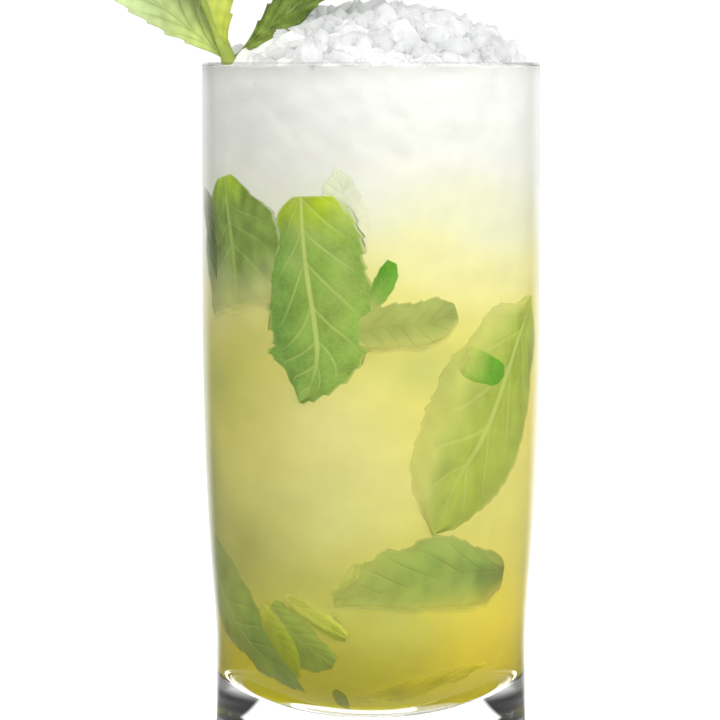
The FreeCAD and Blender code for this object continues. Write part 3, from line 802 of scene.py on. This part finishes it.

# Each sunk leaf lies against the wall. midrib is a row of places (angle, drop) from its base to its tip, left
# and right are half widths at even steps along it, depth is how far the leaf lies behind the wall at its base,
# middle and tip, haze is how much cloudy drink lies before those places, fade adds haze towards the left and
# right margins, veil hides the veins, teeth is the size of the margin's teeth and ruffle is how much the blade
# is crumpled and how strongly its crumples are painted lighter and darker as light and shade. green, base and
# side are the colours of the blade, of its base and of its left half.
sunkLeaves = {
    "leafMain": dict(
        midrib=[(-24.8, 26), (-24.2, 33), (-22.6, 41), (-19.6, 51), (-18.6, 57), (-20.6, 62.4),
        (-25.6, 66.4)],
        left=(7.0, 11.0, 12.0, 12.4, 12.7, 12.4, 10.8, 8.2, 5.0, 2.2, 0),
        right=(2.0, 5.6, 6.0, 8.3, 9.6, 10.6, 11.0, 11.0, 9.4, 5.6, 0), teeth=1.0,
        depth=(0.25, 0.2, 0.25), haze=(0.04, 0.02, 0.05),
        green=(134, 166, 72), base=(168, 188, 36), side=(108, 152, 64)),
    "leafUpperLeft": dict(
        midrib=[(-61, 22.4), (-58, 30), (-55, 38), (-53, 48), (-52, 58)],
        left=(2.5, 8, 13.0, 13, 11, 8, 5), right=(3.5, 9, 13, 13, 12, 9, 6), teeth=0.5,
        depth=(0.3, 0.3, 0.9), haze=(0.02, 0.05, 1.6), veil=0.45, ruffle=0.12,
        green=(126, 150, 70), base=(154, 184, 46), side=(112, 134, 70)),
    "leafLeftFold": dict(
        midrib=[(-82, 25), (-74, 33), (-66.5, 43)],
        left=(0.5, 4, 5.5, 3.5, 0), right=(0.5, 2.4, 2.6, 2.2, 0), teeth=0.4,
        depth=(0.2, 0.15, 0.2), haze=(0.25, 0.05, 0.04), veil=0.6,
        green=(84, 104, 50), base=(120, 134, 90), side=(80, 98, 48)),
    "leafGhost": dict(
        midrib=[(-8, 36), (-9.5, 27), (-12.5, 20.6)],
        left=(3, 4, 4.5, 3.5, 0), right=(4, 4.5, 4, 2.5, 0),
        depth=(0.8, 0.7, 0.6), haze=(0.9, 0.66, 0.56), veil=1.0,
        green=(206, 216, 164), base=(210, 218, 164), side=(208, 216, 168)),
    "leafTipVivid": dict(
        midrib=[(0.6, 47.2), (4.4, 42.6), (7.6, 38.8)],
        left=(1.2, 1.9, 2.1, 1.9, 1.2), right=(1.2, 2.0, 2.3, 2.0, 0.8), teeth=0.8,
        depth=(0.8, 0.3, 0.2), haze=(0.4, 0.06, 0.02), veil=0.8,
        green=(94, 158, 40), base=(140, 172, 84), side=(100, 160, 48)),
    "leafMiddle": dict(
        midrib=[(-6, 52.5), (6, 51.5), (18, 51), (31, 49)],
        left=(3.4, 4.4, 4.6, 4.6, 4.8, 4.4, 2.5), right=(6, 8, 9.0, 8.5, 8, 6, 2.5), teeth=0.7,
        depth=(0.8, 0.6, 0.4), haze=(0.34, 0.20, 0.10), fade=(0.0, 1.0), veil=1.0,
        green=(138, 154, 76), base=(138, 156, 78), side=(146, 160, 82)),
    "leafRight": dict(
        midrib=[(72, 46.4), (66, 51), (58.4, 57.2), (43.5, 72.7), (31.2, 82.4), (23, 92.5)],
        left=(0.5, 6.5, 9.5, 10.5, 12.2, 12.0, 10.5, 7.5, 0),
        right=(0.3, 3.2, 7.5, 11.5, 14.5, 15.0, 12.5, 8.2, 0), teeth=0.6,
        depth=(0.2, 0.25, 0.35), haze=(0.02, 0.10, 0.24), fade=(0.05, 0.45), veil=0.2,
        green=(152, 170, 60), base=(168, 178, 30), side=(158, 174, 86)),
    "leafRightVivid": dict(
        midrib=[(33, 57.5), (43, 60), (52.5, 60.5)],
        left=(2.0, 4.0, 5.0, 4.5, 2.0), right=(3.0, 5.0, 6.0, 5.5, 2.5), teeth=0.4,
        depth=(0.2, 0.13, 0.13), haze=(0.95, 0.14, 0.0), veil=0.9,
        green=(98, 158, 40), base=(130, 174, 70), side=(100, 160, 42)),
    "leafLowerRight": dict(
        midrib=[(59, 101), (44, 100.5), (28, 101), (12, 103), (-2, 104.5), (-15, 105.5)],
        left=(4.5, 9.5, 10.5, 9.5, 8, 6, 5, 4),
        right=(2.5, 4.5, 6.5, 8.5, 8.5, 7.5, 6.5, 4.0),
        depth=(0.25, 0.5, 0.8), haze=(0.02, 0.14, 0.62), fade=(0.9, 0.2), veil=0.9,
        green=(142, 162, 78), base=(100, 114, 56), side=(122, 154, 72)),
    "leafLowerLeft": dict(
        midrib=[(-86, 98), (-74, 106), (-60, 113), (-46, 119), (-33, 124.5)],
        left=(6.0, 9.0, 9.0, 8.0, 5.5, 0), right=(5, 6.5, 5.5, 4.5, 3.0, 0),
        depth=(0.4, 0.35, 0.3), haze=(0.55, 0.10, 0.02), veil=0.6,
        green=(134, 154, 68), base=(130, 146, 70), side=(138, 152, 66)),
    "leafLowerMiddle": dict(
        midrib=[(-42, 107), (-30, 113), (-15, 118)],
        left=(2.0, 3.5, 4.0, 3.0, 1.5), right=(2.0, 5.0, 6.0, 4.5, 1.0),
        depth=(0.6, 0.5, 0.4), haze=(0.2, 0.05, 0.05), veil=0.7,
        green=(146, 162, 68), base=(144, 160, 66), side=(142, 160, 66)),
    "leafSmallYellow": dict(
        midrib=[(-47, 107.5), (-41, 112), (-35.5, 116.5), (-32, 121.5)],
        left=(2.0, 4.2, 4.6, 3.2, 0), right=(2.0, 3.4, 3.4, 2.4, 0),
        depth=(0.35, 0.2, 0.15), haze=(0.6, 0.12, 0.06), fade=(0.1, 0.3), veil=0.85,
        green=(158, 170, 46), base=(154, 168, 52), side=(150, 162, 46)),
    "leafFolded": dict(
        midrib=[(-36, 104.6), (-22, 109), (-9.4, 112.6)],
        left=(3.0, 3.8, 3.4, 2.4, 0.8), right=(1.6, 2.2, 2.2, 1.8, 0.8),
        depth=(0.4, 0.25, 0.15), haze=(0.85, 0.30, 0.05), fade=(0.5, 0.1), veil=0.8,
        green=(182, 192, 66), base=(180, 190, 72), side=(184, 194, 70)),
    "leafBottomBit": dict(
        midrib=[(-17, 123.6), (-13.5, 128.2)],
        left=(0.6, 2.0, 0.4), right=(1.0, 2.2, 0.4),
        depth=(0.2, 0.2, 0.2), haze=(0.1, 0.05, 0.1), veil=0.8,
        green=(140, 146, 30), base=(140, 146, 34), side=(140, 146, 30)),
    "leafBottomRight": dict(
        midrib=[(-8, 125.5), (22, 123.8), (54, 119.3)],
        left=(2.0, 4.0, 4.5, 3.0, 0), right=(0.5, 1.2, 1.2, 0.8, 0),
        depth=(0.4, 0.35, 0.3), haze=(0.70, 0.35, 0.25), fade=(0.8, 0.2), veil=0.9,
        green=(188, 176, 14), base=(188, 176, 14), side=(186, 176, 14)),
    "leafBackA": dict(
        midrib=[(104, 26), (112, 38), (119, 52), (118, 70)],
        left=(3, 9, 11.5, 11, 8, 0), right=(3, 8, 11, 11.5, 8, 0), teeth=0.9,
        depth=(0.3, 0.3, 0.4), haze=(0.04, 0.06, 0.15),
        green=(132, 164, 70), base=(166, 188, 40), side=(114, 154, 66)),
    "leafBackB": dict(
        midrib=[(168, 48), (158, 62), (148, 78), (138, 92)],
        left=(2, 9, 12, 12, 8, 0), right=(2, 8, 12, 12.5, 9, 0),
        depth=(0.3, 0.4, 0.6), haze=(0.05, 0.15, 0.35), fade=(0.3, 0.0),
        green=(156, 176, 72), base=(176, 186, 46), side=(166, 184, 88)),
    "leafBackC": dict(
        midrib=[(205, 24), (199, 38), (196, 52), (199, 66)],
        left=(3, 9, 10.5, 10, 7, 0), right=(3, 9, 11, 10.5, 7, 0), teeth=0.9,
        depth=(0.25, 0.25, 0.4), haze=(0.04, 0.05, 0.18),
        green=(126, 160, 68), base=(160, 186, 46), side=(110, 150, 64)),
    "leafBackD": dict(
        midrib=[(246, 70), (240, 84), (231, 98), (222, 108)],
        left=(2, 8, 10, 9.5, 6, 0), right=(2, 8, 11.5, 11, 7, 0),
        depth=(0.4, 0.4, 0.6), haze=(0.3, 0.18, 0.25), fade=(0.0, 0.4),
        green=(140, 164, 70), base=(150, 172, 66), side=(148, 170, 76)),
    "leafBackE": dict(
        midrib=[(120, 104), (136, 110), (152, 113), (168, 116)],
        left=(2, 5.5, 6.5, 5.5, 3, 0), right=(2, 5, 6, 5.5, 3, 0),
        depth=(0.4, 0.3, 0.4), haze=(0.3, 0.10, 0.10), veil=0.5,
        green=(134, 154, 60), base=(136, 150, 64), side=(140, 158, 60)),
}


def course(values, s):
    # a smooth course through values at even steps (Catmull and Rom's curve): each stretch leaves and meets a
    # value along the line through its two neighbours
    values = np.array(values, float)
    last = len(values) - 1
    at = np.clip(np.asarray(s, float), 0, 1) * last
    i = np.minimum(at.astype(int), last - 1)
    u = (at - i).reshape(at.shape + (1,) * (values.ndim - 1))
    before, here, there, after = (values[np.clip(i + k, 0, last)] for k in (-1, 0, 1, 2))
    squared = (2 * before - 5 * here + 4 * there - after) * u ** 2
    cubed = (3 * here - before - 3 * there + after) * u ** 3
    return 0.5 * (2 * here + (there - before) * u + (squared + cubed))


def bend(values, s):
    # base, middle and tip values joined by a smooth curve
    base, middle, tip = values[:3]
    return (1 - s) * (1 - 2 * s) * base + 4 * s * (1 - s) * middle + s * (2 * s - 1) * tip


def leafOutline(leaf, s, t):
    # an angle and a drop for each s along the midrib and t across it; the margin is found on the unrolled wall
    # (x along it, y up)
    degree = (rimRadius - glassSettings["wallRim"]) * math.pi / 180
    line = np.array(leaf["midrib"]) * [degree, -1]
    midrib = course(line, s[:, 0])
    tangent = np.gradient(midrib, axis=0)
    # each tangent is the mean of nine neighbours, so the margins don't kink
    padded, even = np.pad(tangent, ((4, 4), (0, 0)), "edge"), np.ones(9) / 9
    tangent = np.stack([np.convolve(padded[:, k], even, "valid") for k in (0, 1)], -1)
    tangent /= np.linalg.norm(tangent, axis=1)[:, None]
    normal = np.stack([-tangent[:, 1], tangent[:, 0]], -1)
    length = np.linalg.norm(np.diff(line, axis=0), axis=1).sum()
    width = np.where(t > 0, course(leaf["left"], s), course(leaf["right"], s))
    across = np.maximum(width, 0.02) * t
    size = min(1.0, length / 30)
    across = across + leafTeeth(s, t, max(4, round(length / 3.0)), leaf.get("teeth", 0.55) * size)
    flat = np.stack(np.broadcast_arrays(s * length, t * 9, 0 * t), -1)
    across = across + 0.5 * size * waves(flat, 7, 77) * t ** 3
    wall = midrib[:, None, :] + normal[:, None, :] * across[..., None]
    return wall[..., 0] / degree, -wall[..., 1]


def makeSunkLeaf(name, leaf, rows=96, columns=49):
    # the outline rolled up on the wall; each point's radius is the wall's less the leaf's depth
    s = np.linspace(0, 1, rows)[:, None]
    t = np.linspace(-1, 1, columns)[None, :]
    angle, drop = leafOutline(leaf, s, t)
    spot = place(angle, drop, rimRadius - 1)
    relief = veinRelief(s, t)
    ruffle = leaf.get("ruffle", 0.04)
    fadeLeft, fadeRight = leaf.get("fade", (0, 0))
    haze = bend(leaf["haze"], s) + fadeLeft * smooth(t, 0.1, 1.0) + fadeRight * smooth(t, -0.1, -1.0)
    haze = haze + 0.05 * waves(spot, 8, 5)
    ends = np.maximum(smooth(s, 0.012, 0.0), smooth(s, 0.985, 1.0))
    haze = np.clip(np.maximum(haze, np.maximum(smooth(np.abs(t), 0.92, 1.0), ends)), 0, 1)
    # its margins lie close to the cloud
    cloudDepth = filmDepth(drop)
    body = bend(leaf["depth"], s) + 0.08 * waves(spot, 9, len(name))
    body = body + smooth(np.abs(t), 0.35, 1.0) * np.maximum(cloudDepth - 0.12 - body, 0)
    crumple = 0.6 * (ruffle - 0.04) * waves(spot, 3.5, 18)
    depth = np.maximum(body, 0.12) - (0.08 * relief + crumple) * (1 - haze)
    depth = np.maximum(depth, 0.03)
    points = place(angle, drop, innerAt(rimHeight - drop) - depth)
    green, base, side = (paint(*leaf[key]) for key in ("green", "base", "side"))
    colour = green + smooth(s, 0.28, 0.0)[..., None] * (base - green)
    sideShare = smooth(t, 0.0, -0.7) * smooth(s, 0.05, 0.3)
    colour = colour + (0.8 * sideShare)[..., None] * (side - colour)
    # painted shade: the blade is lighter on the puffs between its veins and on its crumples' crests, darker in
    # the vein grooves, towards the margins and in the crumples' hollows; the rest of this unevenness is at
    # random
    mottle = 0.93 + 0.10 * relief + 0.08 * waves(spot, 6, 8) + ruffle * waves(spot, 3.5, 18)
    colour = colour * mottle[..., None]
    colour = colour + haze[..., None] * (cloudColour(angle, drop) - colour)
    uv = np.stack(np.broadcast_arrays(s, (t + 1) / 2), -1)
    tint = np.concatenate([colour, haze[..., None]], -1)
    return makeBlade(name, points, uv, tint, (1 - haze) * (1 - leaf.get("veil", 0)), sunkLook["thickness"])


def makeBlade(name, points, uv, tint, veins, thickness):
    # a leaf's grid of points as a sheet of this thickness
    rows, columns = points.shape[:2]
    piece = makePiece(name, points.reshape(-1, 3), [gridQuads(rows, columns, flip=True)],
                      uv=uv.reshape(-1, 2), tint=tint.reshape(-1, 4), marks=("veins", veins))
    solidify = piece.modifiers.new("thickness", "SOLIDIFY")
    solidify.thickness = thickness * mm
    solidify.offset = -1.0
    return piece


sunkMint = leafMaterial("sunkMintLeaf", sunkLook)
for leafName, leaf in sunkLeaves.items():
    dress(makeSunkLeaf(leafName, leaf), sunkMint, "mint")
print("sunk leaves made:", len(sunkLeaves))


sprigSettings = {
    "heading": 194.0,        # degrees from +X, where the stem leaves the ice
    "gap": 2.8,              # between the stem and the wall
    "stemDepth": 20.5,       # how far it stands in the ice
    "stemLength": 25.0,      # how long it is above it
    "stemRadius": 1.35,
    "tipRadius": 0.8,
    "lean": 21.0,
    "nodes": (1.7, 14.0, 22.0),
    "nodeSwell": 0.25,
    "petiole": 1.5,
    "thickness": 0.35,       # of the leaves
}

# node is its height, shape is length, width, heading, rise, roll, droop and fold; green, base and paintedShade
# are the colours of the blade, of its base and of its right half, which is painted in shade as the half of a
# folded leaf turned from the light;
# puff is how much the blade stands up between its veins, mottle is how uneven its colour is and clear is how
# clearly the veins show
sprigLeaves = {
    "sprigLeafLeft": dict(
        node=1.5, shape=(50.0, 18.5, 184.0, 40.0, -45.0, 1.0, 20.0), puff=0.4, mottle=0.05,
        clear=0.5,
        green=(206, 222, 166), base=(206, 220, 120), paintedShade=(196, 214, 150)),
    "sprigLeafRight": dict(
        node=1.5, shape=(44.0, 12.5, -6.0, 41.0, 46.0, 4.0, 12.0), puff=1.0, mottle=0.16,
        clear=0.8,
        green=(120, 146, 56), base=(140, 162, 64), paintedShade=(108, 134, 50)),
    "sprigLeafFront": dict(
        node=2.0, shape=(43.0, 15.0, 217.0, 66.0, -14.0, -3.0, 40.0), puff=0.3, mottle=0.05,
        clear=0.5,
        green=(200, 210, 104), base=(196, 208, 66), paintedShade=(112, 132, 42)),
    "sprigLeafBack": dict(
        node=2.0, shape=(36.0, 18.0, 138.0, 44.0, 0.0, 7.0, 16.0), puff=0.7, mottle=0.08,
        green=(128, 156, 62), base=(160, 180, 76), paintedShade=(120, 148, 58)),
    "sprigLeafUpperA": dict(
        node=14.0, shape=(30.0, 16.0, 152.0, 46.0, 10.0, 6.0, 18.0), puff=0.6,
        mottle=0.08, green=(136, 164, 68), base=(164, 184, 78), paintedShade=(128, 156, 62)),
    "sprigLeafUpperB": dict(
        node=14.0, shape=(28.0, 15.0, 338.0, 54.0, -14.0, 6.0, 18.0), puff=0.6,
        mottle=0.08, green=(136, 164, 68), base=(164, 184, 78), paintedShade=(128, 156, 62)),
    "sprigLeafTopA": dict(
        node=22.0, shape=(17.0, 8.0, 250.0, 64.0, 0.0, 1.0, 26.0), puff=0.3, mottle=0.06,
        green=(156, 180, 76), base=(176, 194, 86), paintedShade=(148, 174, 70)),
    "sprigLeafTopB": dict(
        node=22.0, shape=(15.0, 7.0, 70.0, 66.0, 0.0, 1.0, 26.0), puff=0.3, mottle=0.06,
        green=(156, 180, 76), base=(176, 194, 86), paintedShade=(148, 174, 70)),
}


def stemPlace(along):
    # the stem goes straight up in the ice and leans outwards above it
    s = sprigSettings
    out = rimRadius - glassSettings["wallRim"] - s["gap"] - s["stemRadius"]
    heading, lean = math.radians(s["heading"]), math.radians(s["lean"])
    outward = np.array([math.cos(heading), math.sin(heading), 0])
    root = outward * out + [0, 0, rimHeight - iceSettings["heapSink"]]
    along = np.asarray(along, float)[..., None]
    above = outward * math.sin(lean) + [0, 0, math.cos(lean)]
    soft = np.where(along < 0, along * np.array([0, 0, 1.0]), along * above)
    return root + soft


def tube(path, radii, segments=12, square=3.2):
    # a section carried along a path: a circle drawn out towards a square, as a mint stem is
    path = np.asarray(path, float)
    tangent = np.gradient(path, axis=0)
    tangent /= np.linalg.norm(tangent, axis=1)[:, None]
    aside = np.cross(tangent, [0.3, 0.95, 0.05])
    aside /= np.linalg.norm(aside, axis=1)[:, None]
    over = np.cross(tangent, aside)
    turn = np.arange(segments) * 2 * math.pi / segments
    reach = (np.abs(np.cos(turn)) ** square + np.abs(np.sin(turn)) ** square) ** (-1 / square)
    right, up = ((wave(turn) * reach)[None, :, None] for wave in (np.cos, np.sin))
    ring = right * aside[:, None] + up * over[:, None]
    points = path[:, None] + ring * np.asarray(radii)[:, None, None]
    points = np.concatenate([path[:1], points.reshape(-1, 3), path[-1:]])
    return points, closedFaces(len(path), segments)


def turnMatrix(heading, rise, roll):
    # turns a leaf from lying along +X to its heading, its rise and its roll about the midrib
    h, r, l = np.radians([heading, -rise, roll])
    aboutZ = np.array([[math.cos(h), -math.sin(h), 0], [math.sin(h), math.cos(h), 0], [0, 0, 1]])
    aboutY = np.array([[math.cos(r), 0, math.sin(r)], [0, 1, 0], [-math.sin(r), 0, math.cos(r)]])
    aboutX = np.array([[1, 0, 0], [0, math.cos(l), -math.sin(l)], [0, math.sin(l), math.cos(l)]])
    return aboutZ @ aboutY @ aboutX


def sprigWidth(s):
    # 0 at the base and the tip, widest a little below the middle: a power of a sine
    return np.maximum(0, np.sin(math.pi * s ** 0.88)) ** 1.3 * (1 - 0.1 * s)


def makeSprigLeaf(name, leaf, rows=84, columns=45):
    # along the midrib s and across it t: the halves fold up by |across| tan(fold), the tip sinks by droop s^2
    # and the blade puffs up between its veins
    length, width, heading, rise, roll, droop, fold = leaf["shape"]
    s = np.linspace(0, 1, rows)[:, None]
    t = np.linspace(-1, 1, columns)[None, :]
    half = np.maximum(width / 2 * sprigWidth(s), 0.35 * (1 - s) + 0.02)
    across = half * t + leafTeeth(s, t, round(length / 4), 0.02 * length)
    along = sprigSettings["petiole"] + length * s + 0 * t
    flat = np.stack(np.broadcast_arrays(along, across, 0 * along), -1)
    relief = veinRelief(s, t)
    folded = math.tan(math.radians(fold)) * np.abs(across) * (1 - 0.35 * np.abs(t))
    up = folded - droop * s ** 2 + leaf["puff"] * 0.9 * relief * np.minimum(1, half / 5)
    up = up + leaf["puff"] * 0.8 * waves(flat, 11, len(name)) * t ** 2
    local = np.stack(np.broadcast_arrays(along, across, up), -1)
    points = stemPlace(leaf["node"]) + local @ turnMatrix(heading, rise, roll).T
    green, base, paintedShade = (paint(*leaf[key]) for key in ("green", "base", "paintedShade"))
    # painted shade: one half of the blade is darker, as the half of a folded leaf turned from the light
    colour = green + smooth(t, 0.02, -0.12)[..., None] * (paintedShade - green)
    colour = colour + 0.8 * smooth(s, 0.42, 0.0)[..., None] * (base - colour)
    # painted shade: the blade is lighter on the puffs between its veins and darker in the vein grooves and
    # towards the margins; the rest of this unevenness is at random
    tone = 0.90 + 0.16 * relief + 0.06 * waves(flat, 7, 31) + leaf["mottle"] * waves(flat, 2.6, 32)
    colour = colour * tone[..., None]
    uv = np.stack(np.broadcast_arrays(s, (t + 1) / 2), -1)
    tint = np.concatenate([colour, np.ones((rows, columns, 1))], -1)
    veins = np.full((rows, columns), leaf.get("clear", 1.0))
    return makeBlade(name, points, uv, tint, veins, sprigSettings["thickness"])


def makeStem(s):
    # the stem swells at each node and ends in a point
    along = np.linspace(-s["stemDepth"], s["stemLength"], 90)
    radii = s["stemRadius"] + (s["tipRadius"] - s["stemRadius"]) * np.clip(along / s["nodes"][-1], 0, 1)
    for height in s["nodes"]:
        radii = radii + s["nodeSwell"] * np.exp(-((along - height) / 1.1) ** 2)
    radii = radii * smooth(along, 25.2, 23.0)
    radii[-1] = max(radii[-1], 0.05)
    points, faces = tube(stemPlace(along), radii)
    shade = 1 + 0.08 * waves(points, 5, 40)[:, None]
    tint = np.concatenate([paint(176, 192, 92) * shade, np.ones((len(points), 1))], 1)
    count = len(points)
    uv = np.stack([np.linspace(0, 1, count), np.full(count, 0.8)], -1)
    return makePiece("sprigStem", points, faces, uv=uv, tint=tint, marks=("veins", np.zeros(count)))


freshLook = {
    "veinColour": paint(214, 224, 140),
    "veins": 0.7, "sideVeins": 0.6, "net": 0.22, "netSize": 1.5, "patches": 0.16,
    "rough": 0.45, "gloss": 0.4, "bump": 0.5, "through": 0.3,
}

freshMint = leafMaterial("freshMintLeaf", freshLook)
dress(makeStem(sprigSettings), freshMint, "mint", "mint_sprig")
for leafName, leaf in sprigLeaves.items():
    dress(makeSprigLeaf(leafName, leaf), freshMint, "mint", "mint_sprig")
print("sprig made:", len(sprigLeaves), "leaves")
